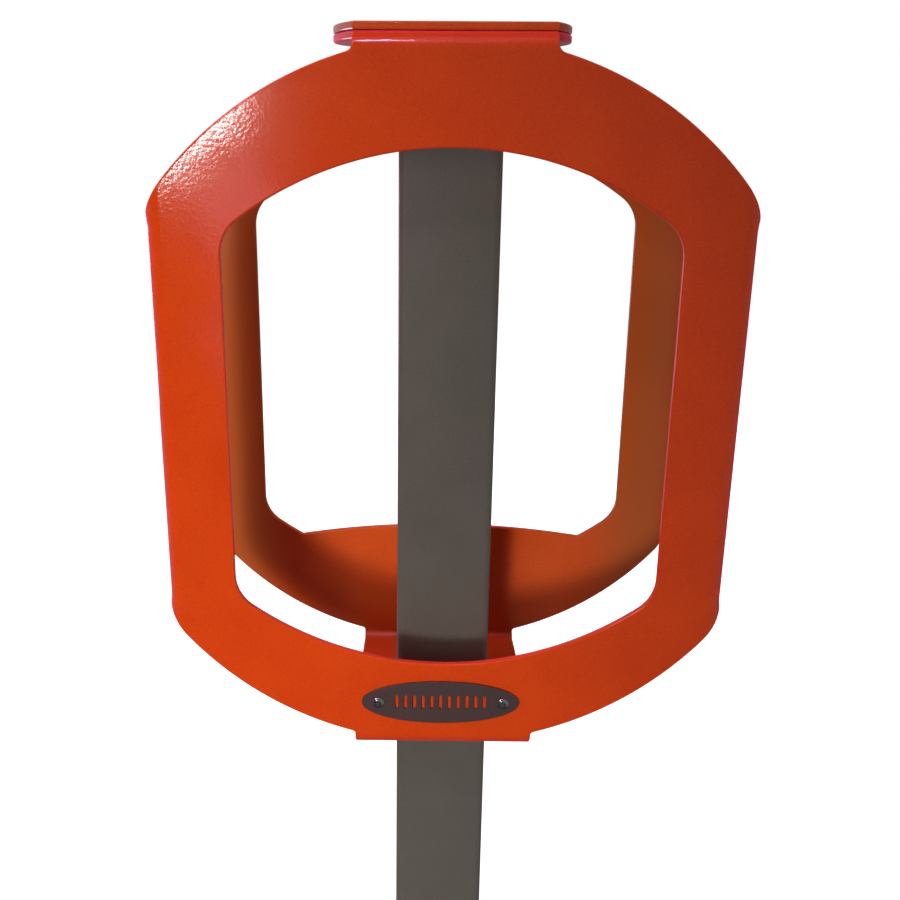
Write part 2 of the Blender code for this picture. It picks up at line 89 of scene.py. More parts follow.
TOP_BOLT_HEAD = 0.0180
TOP_BOLT_HEAD_HEIGHT = 0.0023
TOP_BOLT_SPACING = 0.0300
BOTTOM_BOLT_HEAD = 0.0160
BOTTOM_BOLT_HEAD_HEIGHT = 0.0038
BOTTOM_BOLT_SPACING_X = 0.0920
BOTTOM_BOLT_SPACING_Y = 0.0440
NUT_FLATS = 9 / 16 * INCH
NUT_HEIGHT = 0.0083
WASHER_DIAMETER = 0.0175
WASHER_THICKNESS = 0.0016
BOLT_END = 0.0020
BOLT_SOCKET = 0.0062
BOLT_PIN = 0.0024
BADGE_WIDTH = 0.1044
BADGE_HEIGHT = 0.0308
BADGE_THICKNESS = 0.0015
BADGE_LEVEL = 0.0344
BADGE_SHIFT = -0.0020
BADGE_SCREW_SPACING = 0.0824
BADGE_SCREW_DIAMETER = 0.0048
BADGE_SCREW_HEAD = 0.0082
BADGE_SCREW_HEAD_HEIGHT = 0.0020
BADGE_NUT_FLATS = 0.0095
BADGE_NUT_HEIGHT = 0.0032
BADGE_WASHER_DIAMETER = 0.0110
BADGE_WASHER_THICKNESS = 0.0010
BADGE_SCREW_END = 0.0015
BADGE_SOCKET = 0.0032
BADGE_PIN = 0.0012

# Looks that the source leaves plain
EDGE_ROUNDING = 0.0013    # of the coated sheets' cut edges
HEAVY_ROUNDING = 0.0014   # of the base plate's
BADGE_ROUNDING = 0.0003
BADGE_SLOTS = 11
SLOT_PITCH = 0.0058
SLOT_WIDTH = 0.0021
SLOT_HEIGHT = 0.0100
PLATE_ROUNDING = 0.0006   # of the cap and collar plates'
TUBE_ROUNDING = 0.0003    # of the post's ends
WELD_RIPPLE = 0.0034      # from one ripple of a bead to the next
WELD_SWELL = 0.16         # how far a bead bulges, as a share of its leg
VALLEY_SHARE = 0.55       # of the bulge that is left between two ripples

# Shares of a domed screw's sizes
SCREW_RIM = 0.22          # its head's straight edge, of the height
RIM_EASE = 0.3            # of that edge, eased in at the seat
SEAT_EASE = 0.985         # the head's seat, of its diameter
SOCKET_FLOOR = 0.30       # of the height
SOCKET_LIP = 1.06         # the socket's rim, of the socket
SOCKET_TOP = 0.985        # of the height
SHANK_CHAMFER = 0.10      # of the diameter
PIN_SHOULDER = 0.74       # of the height
PIN_TOP = 0.78            # of the height
PIN_FLAT = 0.4            # radius of the pin's flat end, of the pin's diameter

# Shares of a nut's and a washer's sizes
NUT_FACE = 0.97           # across the flat face, of the flats
NUT_SLOPE = 30            # degrees, of the chamfer
COUNTERSINK = 1.08        # of the bore
COUNTERSINK_DEPTH = 0.04  # of the bore
WASHER_EASE = 0.2         # of the thickness

# Materials: a scale is per metre, and a gloss is the shares of the roughness it varies between
NOISE_RANGE = (0.3, 0.7)     # most of a noise texture's values
CLOUD_SCALE = 28             # slow changes of the coat's colour
CLOUD_RANGE = (0.2, 0.8)     # of the way from its first tone to its second
FLECK_SIZE = 0.0011          # of the pigment's grain
FLECK_RANGE = (-0.5, 0.5)    # added to the cloud's
COAT_GLOSS_SCALE = 60
COAT_GLOSS = (0.9, 1.12)
GRAIN_FINENESS = 6           # fine grains along one of the peel's
GRAIN_SHARE = 0.05           # of the peel's height
SIDE_SHADE_REACH = (0.112, 0.150)   # from the rear plate's middle, over which it turns to its darker, browner side tone: painted shade and reflection
CRIMSON = (1.0, 0.01, 0.15)  # of the front plate's coat where it is seen at a slant
SHEEN_ROUGHNESS = 0.42
METAL_TONE_SCALE = 300
METAL_GLOSS_SCALE = 900
METAL_GLOSS = (0.8, 1.25)
SCRATCH_DEPTH = 0.00002
BADGE_METALLIC = 0.3
BADGE_TONE_SCALE = 420
BADGE_GLOSS_SCALE = 150
BADGE_GLOSS = (0.9, 1.15)
BADGE_GRAIN_SCALE = 2600
BADGE_GRAIN_DEPTH = 0.00003

# Fineness
ROUND_SEGMENTS = 4        # of an edge's rounding
BEND_STEPS = 10
ARC_STEPS = 40
WINDOW_STEPS = 80
CORNER_STEPS = 12
TURN_STEPS = 72           # a multiple of six, for the hexagons
BADGE_STEPS = 144
DOME_STEPS = 8
WELD_STEPS = 6            # across a bead, and along each of its ripples
SHARP_ANGLE = 35          # degrees, above which an edge is shaded sharp
CUT_TOLERANCE = 1e-7

# Levels and places that follow from the sizes
RING_TOP = RACK_HEIGHT - SHEET - TOUCH
RING_MIDDLE = RING_TOP - RING_HEIGHT / 2
RING_BOTTOM = RING_TOP - RING_HEIGHT
FACE_Y = RING_DEPTH / 2
ARC_TOP = RING_HEIGHT / 2 - ARC_INSET
BADGE_Z = BADGE_LEVEL - RING_HEIGHT / 2
POST_TOP = RING_TOP - SHEET - TOUCH - CAP_THICKNESS - TOUCH
POST_FOOT = BASE_THICKNESS + TOUCH
COLLAR_TOP = RING_BOTTOM - TOUCH
BEND_LENGTH = BEND_RADIUS * math.pi / 2
LIP_START = RING_WIDTH / 2 - BEND_RADIUS
LIP_EDGE = LIP_START + BEND_LENGTH + SIDE_LIP - BEND_RADIUS


# Materials

def shader_setup(name, roughness, metallic=0.0, level=0.5):
    """A new material, its node tree and its Principled shader."""
    made = bpy.data.materials.new(name)
    made.use_nodes = True
    tree = made.node_tree
    shader = tree.nodes["Principled BSDF"]
    shader.inputs["Roughness"].default_value = roughness
    shader.inputs["Metallic"].default_value = metallic
    shader.inputs["Specular IOR Level"].default_value = level
    return made, tree, shader


def combined(tree, operation, first, second):
    """Two values joined by a Math node's operation."""
    node = tree.nodes.new("ShaderNodeMath")
    node.operation = operation
    tree.links.new(first, node.inputs[0])
    tree.links.new(second, node.inputs[1])
    return node.outputs[0]


def noise(tree, coordinates, scale, detail):
    node = tree.nodes.new("ShaderNodeTexNoise")
    node.inputs["Scale"].default_value = scale
    node.inputs["Detail"].default_value = detail
    tree.links.new(coordinates, node.inputs["Vector"])
    return node.outputs["Fac"]


def spread(tree, value, low, high):
    """Map a noise value onto a range."""
    node = tree.nodes.new("ShaderNodeMapRange")
    node.inputs["From Min"].default_value, node.inputs["From Max"].default_value = NOISE_RANGE
    node.inputs["To Min"].default_value = low
    node.inputs["To Max"].default_value = high
    tree.links.new(value, node.inputs["Value"])
    return node.outputs["Result"]


def two_tone(tree, value, first, second):
    """A colour between two, by a value from 0 to 1."""
    node = tree.nodes.new("ShaderNodeMix")
    node.data_type = "RGBA"
    node.inputs["A"].default_value = (*first, 1)
    node.inputs["B"].default_value = (*second, 1)
    tree.links.new(value, node.inputs["Factor"])
    return node.outputs["Result"]


def bump(tree, height, distance, under=None):
    """A fine relief, on top of another one where there is one under it."""
    node = tree.nodes.new("ShaderNodeBump")
    node.inputs["Distance"].default_value = distance
    node.inputs["Strength"].default_value = 1.0
    tree.links.new(height, node.inputs["Height"])
    if under:
        tree.links.new(under, node.inputs["Normal"])
    return node.outputs["Normal"]


def place_coordinates(tree):
    """The piece's own coordinates, in metres."""
    return tree.nodes.new("ShaderNodeTexCoord").outputs["Object"]


def vary_gloss(tree, shader, patches, roughness, shares):
    """Let the roughness vary in patches, between two shares of it."""
    low, high = shares
    varied = spread(tree, patches, roughness * low, roughness * high)
    tree.links.new(varied, shader.inputs["Roughness"])


def towards_sides(tree, place, colour, sides):
    """Mix to a darker, browner colour towards a folded plate's side strips: painted shade and
    reflection.
    """
    parts = tree.nodes.new("ShaderNodeSeparateXYZ")
    tree.links.new(place, parts.inputs[0])
    across = tree.nodes.new("ShaderNodeMath")
    across.operation = "ABSOLUTE"
    tree.links.new(parts.outputs["X"], across.inputs[0])
    share = tree.nodes.new("ShaderNodeMapRange")
    share.interpolation_type = "SMOOTHSTEP"
    share.inputs["From Min"].default_value, share.inputs["From Max"].default_value = SIDE_SHADE_REACH
    tree.links.new(across.outputs[0], share.inputs["Value"])
    node = tree.nodes.new("ShaderNodeMix")
    node.data_type = "RGBA"
    node.inputs["B"].default_value = (*sides, 1)
    tree.links.new(share.outputs["Result"], node.inputs["Factor"])
    tree.links.new(colour, node.inputs["A"])
    return node.outputs["Result"]


def powder_coat(name, first, second, roughness, peel_size, peel_height, level,
                sides=None, sheen=0.0):
    """Sprayed and baked coat: orange peel, with slight changes of colour and gloss."""
    made, tree, shader = shader_setup(name, roughness, level=level)
    place = place_coordinates(tree)
    cloud = spread(tree, noise(tree, place, CLOUD_SCALE, detail=4), *CLOUD_RANGE)
    fleck = spread(tree, noise(tree, place, 1 / FLECK_SIZE, detail=1), *FLECK_RANGE)
    colour = two_tone(tree, combined(tree, "ADD", cloud, fleck), first, second)
    # the side tone is painted shade and reflection
    if sides:
        colour = towards_sides(tree, place, colour, sides)
    tree.links.new(colour, shader.inputs["Base Color"])
    patches = noise(tree, place, COAT_GLOSS_SCALE, detail=3)
    vary_gloss(tree, shader, patches, roughness, COAT_GLOSS)
    peel = bump(tree, noise(tree, place, 1 / peel_size, detail=1), peel_height)
    grains = noise(tree, place, GRAIN_FINENESS / peel_size, detail=2)
    tree.links.new(bump(tree, grains, peel_height * GRAIN_SHARE, peel), shader.inputs["Normal"])
    if sheen:
        shader.inputs["Sheen Weight"].default_value = sheen
        shader.inputs["Sheen Roughness"].default_value = SHEEN_ROUGHNESS
        shader.inputs["Sheen Tint"].default_value = (*CRIMSON, 1)
    return made


def bare_metal(name, first, second, roughness, scratch_size):
    """Plain or plated steel, with fine scratches."""
    made, tree, shader = shader_setup(name, roughness, metallic=1.0)
    place = place_coordinates(tree)
    tone = spread(tree, noise(tree, place, METAL_TONE_SCALE, detail=3), 0, 1)
    tree.links.new(two_tone(tree, tone, first, second), shader.inputs["Base Color"])
    patches = noise(tree, place, METAL_GLOSS_SCALE, detail=2)
    vary_gloss(tree, shader, patches, roughness, METAL_GLOSS)
    scratches = noise(tree, place, 1 / scratch_size, detail=3)
    tree.links.new(bump(tree, scratches, SCRATCH_DEPTH), shader.inputs["Normal"])
    return made


def anodised(name, first, second, roughness):
    """The badge's dull dark surface."""
    made, tree, shader = shader_setup(name, roughness, metallic=BADGE_METALLIC)
    place = place_coordinates(tree)
    tone = spread(tree, noise(tree, place, BADGE_TONE_SCALE, detail=3), 0, 1)
    tree.links.new(two_tone(tree, tone, first, second), shader.inputs["Base Color"])
    patches = noise(tree, place, BADGE_GLOSS_SCALE, detail=2)
    vary_gloss(tree, shader, patches, roughness, BADGE_GLOSS)
    grains = noise(tree, place, BADGE_GRAIN_SCALE, detail=2)
    tree.links.new(bump(tree, grains, BADGE_GRAIN_DEPTH), shader.inputs["Normal"])
    return made


# Outlines: lists of (x, y), anticlockwise

def arc_points(centre, radius, start, end, steps):
    angles = [start + (end - start) * i / steps for i in range(steps + 1)]
    return [(centre[0] + radius * math.cos(a), centre[1] + radius * math.sin(a)) for a in angles]


def circle(centre, diameter, steps=TURN_STEPS):
    return arc_points(centre, diameter / 2, 0, 2 * math.pi, steps)[:-1]


def rounded_rectangle(width, height, radius):
    points = []
    for quarter, (side, end) in enumerate(((1, 1), (-1, 1), (-1, -1), (1, -1))):
        middle = (side * (width / 2 - radius), end * (height / 2 - radius))
        start = quarter * math.pi / 2
        points += arc_points(middle, radius, start, start + math.pi / 2, CORNER_STEPS)
    return points


def slot_outline(centre_x, width, height):
    """An upright slot with round ends."""
    reach = (height - width) / 2
    half = TURN_STEPS // 4
    upper = arc_points((centre_x, reach), width / 2, 0, math.pi, half)
    return upper + arc_points((centre_x, -reach), width / 2, math.pi, 2 * math.pi, half)


def ellipse(width, height):
    angles = [2 * math.pi * i / BADGE_STEPS for i in range(BADGE_STEPS)]
    return [(width / 2 * math.cos(a), height / 2 * math.sin(a)) for a in angles]


def mirror_across(points):
    """The same outline on the other side, left for right."""
    return [(-x, y) for x, y in reversed(points)]


def flip_along(points):
    """The same outline upside down."""
    return [(x, -y) for x, y in reversed(points)]


def inset(points, distance):
    """Move a closed outline to its left by a distance; a negative one moves it outwards."""
    moved = []
    for i, point in enumerate(points):
        before = Vector(point) - Vector(points[i - 1])
        after = Vector(points[(i + 1) % len(points)]) - Vector(point)
        first = Vector((-before.y, before.x)).normalized()
        second = Vector((-after.y, after.x)).normalized()
        shift = (first + second) * distance / (1 + first.dot(second))
        moved.append((point[0] + shift.x, point[1] + shift.y))
    return moved


# Solids

def link_rings(builder, low, high):
    """Faces between two closed loops of points."""
    for i in range(len(low)):
        builder.faces.new((low[i - 1], low[i], high[i], high[i - 1]))


def rounded_slab(outline, holes, thickness, rounding, bottom=0.0):
    """A plate from bottom up, with its cut edges rounded on both faces."""
    builder = bmesh.new()
    quarter = [math.pi / 2 * i / ROUND_SEGMENTS for i in range(ROUND_SEGMENTS + 1)]
    profile = [(rounding * (1 - math.sin(a)), rounding * (1 - math.cos(a))) for a in quarter]
    profile += [(x, thickness - z) for x, z in reversed(profile)]
    flat_edges = {0: [], thickness: []}
    for points, side in [(outline, 1)] + [(hole, -1) for hole in holes]:
        rings = []
        for depth, level in profile:
            loop = inset(points, side * depth)
            rings.append([builder.verts.new((x, y, level)) for x, y in loop])
        for low, high in zip(rings, rings[1:]):
            link_rings(builder, low, high)
        for loop, level in ((rings[0], 0), (rings[-1], thickness)):
            flat_edges[level] += [builder.edges.get((loop[i - 1], loop[i]))
                                  for i in range(len(loop))]
    for edges in flat_edges.values():
        bmesh.ops.triangle_fill(builder, use_beauty=True, use_dissolve=False, edges=edges)
    bmesh.ops.translate(builder, vec=(0, 0, bottom), verts=builder.verts)
    return builder


def turned(rings):
    """A solid from rings of points; a ring of one point closes an end, and else it wraps."""
    builder = bmesh.new()
    made = [[builder.verts.new(point) for point in loop] for loop in rings]
    if len(made[0]) > 1:
        made.append(made[0])
    for low, high in zip(made, made[1:]):
        for i in range(TURN_STEPS):
            below = low[:] if len(low) == 1 else [low[i - 1], low[i]]
            above = high[:] if len(high) == 1 else [high[i], high[i - 1]]
            builder.faces.new(below + above)
    return builder


def hex_reach(angle):
    """Distance to a hexagon's edge in a direction, as a share of its corner's."""
    past = angle % (math.pi / 3) - math.pi / 6
    return math.cos(math.pi / 6) / math.cos(past)


def ring(radius, height, hexagonal=False):
    """Points round the axis at a height, in a circle or a hexagon, or one on the axis."""
    if radius == 0:
        return [(0, 0, height)]
    points = []
    for i in range(TURN_STEPS):
        angle = 2 * math.pi * i / TURN_STEPS
        reach = radius * (hex_reach(angle) if hexagonal else 1)
        points.append((reach * math.cos(angle), reach * math.sin(angle), height))
    return points


def socket_screw(head, head_height, shank, length, socket, pin):
    """A domed screw, head up, with a hexagonal socket round a pin; its seat is at height 0."""
    rim = head_height * SCREW_RIM
    floor = head_height * SOCKET_FLOOR
    lip = socket / 2 * SOCKET_LIP
    chamfer = shank * SHANK_CHAMFER
    pin_top = head_height * PIN_TOP
    rings = [ring(0, -length), ring(shank / 2 - chamfer, -length),
             ring(shank / 2, chamfer - length), ring(shank / 2, 0),
             ring(head / 2 * SEAT_EASE, 0), ring(head / 2, rim * RIM_EASE), ring(head / 2, rim)]
    for i in range(1, DOME_STEPS + 1):
        angle = math.pi / 2 * i / DOME_STEPS
        reach = lip + (head / 2 - lip) * math.cos(angle)
        rings.append(ring(reach, rim + (head_height - rim) * math.sin(angle)))
    rings += [ring(socket / 2, head_height * SOCKET_TOP, True), ring(socket / 2, floor, True),
              ring(pin / 2, floor), ring(pin / 2, head_height * PIN_SHOULDER),
              ring(pin * PIN_FLAT, pin_top), ring(0, pin_top)]
    return turned(rings)


def chamfered_nut(flats, bore, height):
    """A hexagonal nut with its underside at height 0."""
    corner = flats / math.sqrt(3)
    face = flats / 2 * NUT_FACE
    slope = math.tan(math.radians(NUT_SLOPE))
    edge = [(x, y, (math.hypot(x, y) - face) * slope) for x, y, _ in ring(corner, 0, True)]
    top = [(x, y, height - drop) for x, y, drop in edge]
    countersink = bore / 2 * COUNTERSINK
    depth = bore * COUNTERSINK_DEPTH
    return turned([ring(bore / 2, depth), ring(countersink, 0), ring(face, 0), edge, top,
                   ring(face, height), ring(countersink, height), ring(bore / 2, height - depth)])


def flat_washer(bore, outer, thickness):
    """A washer with eased edges and its underside at height 0."""
    ease = thickness * WASHER_EASE
    return turned([ring(bore / 2, 0), ring(outer / 2 - ease, 0), ring(outer / 2, ease),
                   ring(outer / 2, thickness - ease), ring(outer / 2 - ease, thickness),
                   ring(bore / 2, thickness)])


def finer(path, step):
    """A closed outline with points added, so that they are about a step apart."""
    points = []
    for i, point in enumerate(path):
        here = Vector(point)
        gap = Vector(path[(i + 1) % len(path)]) - here
        count = max(1, round(gap.length / step))
        points += [tuple(here + gap * k / count) for k in range(count)]
    return points


def ripple_heights(path):
    """How high a bead's ripples are at each point of its path, from 0 to 1."""
    lengths = [(Vector(path[i]) - Vector(path[i - 1])).length for i in range(len(path))]
    turns = round(sum(lengths) / WELD_RIPPLE)
    travelled = 0.0
    heights = []
    for length in lengths:
        travelled += length
        heights.append(abs(math.sin(math.pi * turns * travelled / sum(lengths))))
    return heights


def weld_bead(outer, corner, leg, level, up):
    """A rippled fillet bead round a square piece."""
    builder = bmesh.new()
    direction = 1 if up else -1
    flat = level + direction * TOUCH
    path = rounded_rectangle(outer + 2 * TOUCH, outer + 2 * TOUCH, corner + TOUCH)
    path = finer(path, WELD_RIPPLE / WELD_STEPS)
    ripples = ripple_heights(path)
    loops = [[(x, y, flat) for x, y in path]]
    for k in range(WELD_STEPS + 1):
        share = k / WELD_STEPS
        swell = WELD_SWELL * math.sin(math.pi * share)
        valley = inset(path, -leg * (1 - share + swell * VALLEY_SHARE))
        crest = inset(path, -leg * (1 - share + swell))
        loop = []
        for low, high, ripple in zip(valley, crest, ripples):
            x, y = Vector(low).lerp(Vector(high), ripple)
            rise = leg * (share + swell * (VALLEY_SHARE + (1 - VALLEY_SHARE) * ripple))
            loop.append((x, y, flat + direction * min(rise, leg)))
        loops.append(loop)
    made = [[builder.verts.new(point) for point in loop] for loop in loops]
    for low, high in zip(made, made[1:] + made[:1]):
        link_rings(builder, low, high)
    return builder


def to_mesh(name, builder):
    """A mesh with its faces outwards, shaded smooth between its sharp edges."""
    bmesh.ops.recalc_face_normals(builder, faces=builder.faces)
    mesh = bpy.data.meshes.new(name)
    builder.to_mesh(mesh)
    builder.free()
    mesh.shade_smooth()
    mesh.set_sharp_from_angle(angle=math.radians(SHARP_ANGLE))
    return mesh


def dress(node, mesh, look, place=(0, 0, 0), turn=None):
    """Put a finer piece where a CAD node is, and let it stand for that node."""
    piece = bpy.data.objects.new(f"{node}_detail", mesh)
    if not mesh.materials:
        mesh.materials.append(look)
    bpy.context.scene.collection.objects.link(piece)
    piece.matrix_world = Matrix.Translation(place) @ (turn or Matrix.Identity(4))
    weights = piece.modifiers.new("even_shading", "WEIGHTED_NORMAL")
    weights.keep_sharp = True
    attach(piece, "root")
    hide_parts(node)


# Places of the fasteners

def four_places(spacing_x, spacing_y):
    """Names and places of four bolts about the post's middle."""
    return {f"{end}_{side}": (x * spacing_x / 2, y * spacing_y / 2)
            for y, end in ((-1, "front"), (1, "rear"))
            for x, side in ((-1, "left"), (1, "right"))}


def badge_screw_places():
    """How far the left and the right screw are from the badge's middle."""
    return [-BADGE_SCREW_SPACING / 2, BADGE_SCREW_SPACING / 2]


# Ring plates, in blank coordinates: across, and along from the ring's middle

def arc_through(half_width, top, rise):
    """Level of the centre, and radius, of an arc that rises to its top over a half width."""
    radius = (half_width ** 2 + rise ** 2) / (2 * rise)
    return top - radius, radius


def corner_centre(centre, radius, side, rounding):
    """Centre of the rounding where an arc meets a straight side."""
    across = side - rounding
    return across, centre + math.sqrt((radius - rounding) ** 2 - across ** 2)


def lip_corner():
    """Centre of the rounding between the outer arc and the lip's edge."""
    return corner_centre(*arc_through(RING_WIDTH / 2, ARC_TOP, ARC_RISE), LIP_EDGE, CORNER_RADIUS)


def lip_fold(along):
    """How far the side lip is folded, as a share: it opens out a little at its ends."""
    past = min(max((abs(along) - lip_corner()[1]) / LIP_FADE, 0), 1)
    return 1 - (1 - LIP_END_FOLD) * math.sin(past * math.pi / 2) ** 2


def sheet_half_width(depth, width, middle_width):
    """Half the width of a top or bottom sheet, whose sides bow outwards."""
    span = RING_DEPTH / 2 - BEND_RADIUS
    offset = depth - RING_DEPTH / 2
    bow = (middle_width - width) / 2
    return width / 2 + bow * (1 - (offset / span) ** 2)


def tab_points(tab_start, end_depth, width, fillet_radius, middle_width):
    """Right edge of a tab: a fillet from the outer arc, and the side up to its end."""
    centre, radius = arc_through(RING_WIDTH / 2, ARC_TOP, ARC_RISE)
    fillet_x = width / 2 + fillet_radius
    fillet_z = centre + math.sqrt((radius + fillet_radius) ** 2 - fillet_x ** 2)
    start = math.atan2(centre - fillet_z, -fillet_x)
    fillet = arc_points((fillet_x, fillet_z), fillet_radius, start, -math.pi, CORNER_STEPS // 2)
    depths = [BEND_RADIUS + (end_depth - BEND_RADIUS) * i / ARC_STEPS
              for i in range(ARC_STEPS + 1)]
    flat = [(sheet_half_width(d, width, middle_width), tab_start + BEND_LENGTH + d - BEND_RADIUS)
            for d in depths]
    return fillet + flat


def quarter_points(tab):
    """A quarter of the outer outline, from the lip's edge to the tab's end."""
    centre, radius = arc_through(RING_WIDTH / 2, ARC_TOP, ARC_RISE)
    corner_x, corner_z = lip_corner()
    meet = math.atan2(corner_z - centre, corner_x)
    tab_meet = math.atan2(tab[0][1] - centre, tab[0][0])
    corner = arc_points((corner_x, corner_z), CORNER_RADIUS, 0, meet, CORNER_STEPS)
    arc = arc_points((0, centre), radius, meet, tab_meet, ARC_STEPS)
    return corner + arc[1:-1] + tab


def window_quarter(end_x):
    """Upper right quarter of a window, up to a place on its arc."""
    side = RING_WIDTH / 2 - SIDE_STRIP
    centre, radius = arc_through(side, ARC_TOP - WINDOW_BAND, WINDOW_RISE)
    corner_x, corner_z = corner_centre(centre, radius, side, WINDOW_CORNER)
    meet = math.atan2(corner_z - centre, corner_x)
    corner = arc_points((corner_x, corner_z), WINDOW_CORNER, 0, meet, CORNER_STEPS)
    steps = max(round(WINDOW_STEPS * (1 - end_x / corner_x)), 2)
    return corner + arc_points((0, centre), radius, meet, math.acos(end_x / radius), steps)[1:]


def window_half():
    """Upper half of a window."""
    quarter = window_quarter(0)
    return quarter + mirror_across(quarter[:-1])


def arched_half():
    """Half of a window, whose edge bows inwards over its middle."""
    quarter = window_quarter(REAR_ARCH_WIDTH / 2)
    level = quarter[-1][1]
    centre, radius = arc_through(REAR_ARCH_WIDTH / 2, REAR_ARCH_RISE, REAR_ARCH_RISE)
    sweep = math.asin(REAR_ARCH_WIDTH / 2 / radius)
    bow = arc_points((0, centre), radius, math.pi / 2 - sweep, math.pi / 2 + sweep, WINDOW_STEPS)
    arch = [(x, level - z) for x, z in bow[1:-1]]
    return quarter + arch + mirror_across(quarter)


def bend(length, inward, share=1):
    """Where a point comes to, onward and back, that lies past the start of a bend."""
    radius = BEND_RADIUS / share
    angle = min(length, BEND_LENGTH) / radius
    straight = max(length - BEND_LENGTH, 0)
    onward = (radius - inward) * math.sin(angle) + straight * math.cos(angle)
    return onward, radius - (radius - inward) * math.cos(angle) + straight * math.sin(angle)


def fold(across, along, inward, top_start, bottom_start):
    """Where a point of the flat blank comes to: across, depth and height."""
    if abs(across) > LIP_START:
        past, depth = bend(abs(across) - LIP_START, inward, lip_fold(along))
        return math.copysign(LIP_START + past, across), depth, along
    if along > top_start:
        past, depth = bend(along - top_start, inward)
        return across, depth, top_start + past
    if along < -bottom_start:
        past, depth = bend(-along - bottom_start, inward)
        return across, depth, -bottom_start - past
    return across, inward, along


def notch_points(tab_start, seam_depth):
    """Half of the notch in a bottom sheet, round the post."""
    half = POST_SIZE / 2 + POST_CLEARANCE
    inner = RING_DEPTH / 2 - half
    flat = tab_start + BEND_LENGTH - BEND_RADIUS
    corner = POST_CORNER + POST_CLEARANCE
    rounding = arc_points((half - corner, flat + inner + corner), corner, 0, -math.pi / 2,
                          CORNER_STEPS // 2)
    return [(half, flat + seam_depth), *rounding]


def sheet_holes(spacing_x, spacing_y, tab_start, end, rows):
    """Bolt holes in a top or bottom sheet, in rows of two."""
    flat = tab_start + BEND_LENGTH - BEND_RADIUS
    diameter = BOLT_DIAMETER + 2 * BOLT_CLEARANCE
    made = []
    for row in range(rows):
        depth = RING_DEPTH / 2 + (row - 0.5) * spacing_y
        for side in (-1, 1):
            place = (side * spacing_x / 2, end * (flat + depth))
            made.append(circle(place, diameter, TURN_STEPS // 2))
    return made


def cut_lines(builder, axis, places, faces=None):
    """Cut the faces along lines across an axis, so that they can be bent there."""
    normal = (1, 0, 0) if axis == 0 else (0, 1, 0)
    for place in places:
        chosen = faces() if faces else builder.faces[:]
        edges = {edge for face in chosen for edge in face.edges}
        verts = {vert for face in chosen for vert in face.verts}
        point = (place, 0, 0) if axis == 0 else (0, place, 0)
        bmesh.ops.bisect_plane(builder, geom=[*chosen, *edges, *verts], dist=CUT_TOLERANCE,
                               plane_co=point, plane_no=normal)


def ring_plate(sheet_top, face_holes, front):
    """A folded plate, made flat with rounded edges and then bent."""
    top_start = sheet_top - BEND_RADIUS
    bottom_start = RING_HEIGHT / 2 - BEND_RADIUS
    seam_depth = RING_DEPTH / 2 - SEAM / 2
    upper = quarter_points(tab_points(top_start, RING_DEPTH - BEND_RADIUS,
                                      TOP_TAB_WIDTH, TOP_TAB_FILLET, TOP_SHEET_WIDTH))
    lower = quarter_points(tab_points(bottom_start, seam_depth,
                                      BOTTOM_TAB_WIDTH, BOTTOM_TAB_FILLET, BOTTOM_SHEET_WIDTH))
    lower += notch_points(bottom_start, seam_depth)
    right = flip_along(lower) + upper
    window_bottom = window_half() if front else arched_half()
    holes = [window_half() + flip_along(window_bottom), *face_holes]
    holes += sheet_holes(TOP_BOLT_SPACING, TOP_BOLT_SPACING, top_start, 1, 2)
    holes += sheet_holes(BOTTOM_BOLT_SPACING_X, BOTTOM_BOLT_SPACING_Y, bottom_start, -1, 1)

    builder = rounded_slab(right + mirror_across(right), holes, SHEET, EDGE_ROUNDING)
    steps = [BEND_LENGTH * i / BEND_STEPS for i in range(BEND_STEPS + 1)]
    cut_lines(builder, 1, [top_start + s for s in steps])
    cut_lines(builder, 1, [-bottom_start - s for s in steps])
    for side in (1, -1):
        cut_lines(builder, 0, [side * (LIP_START + s) for s in steps])
    fade = [lip_corner()[1] + LIP_FADE * i / CORNER_STEPS for i in range(CORNER_STEPS + 1)]

    def lip_faces():
        return [face for face in builder.faces if abs(face.calc_center_median().x) > LIP_START]

    cut_lines(builder, 1, fade + [-place for place in fade], lip_faces)
    for vert in builder.verts:
        x, depth, height = fold(*vert.co, top_start, bottom_start)
        y = depth - FACE_Y if front else FACE_Y - depth
        vert.co = (x, y, height)
    bmesh.ops.triangulate(builder, faces=builder.faces[:])
    return builder


def dress_ring(red, rear_shaded_red):
    badge_hole = BADGE_SCREW_DIAMETER + 2 * TOUCH
    badge_holes = [circle((BADGE_SHIFT + x, BADGE_Z), badge_hole) for x in badge_screw_places()]
    front_top = RING_HEIGHT / 2
    front = to_mesh("ring_front", ring_plate(front_top, badge_holes, True))
    rear = to_mesh("ring_rear", ring_plate(front_top + TOUCH + SHEET, [], False))
    dress("ring_front_plate", front, red, (0, 0, RING_MIDDLE))
    # the rear plate takes the darker, browner copy of the red coat, which is painted shade
    dress("ring_rear_plate", rear, rear_shaded_red, (0, 0, RING_MIDDLE))


# Post

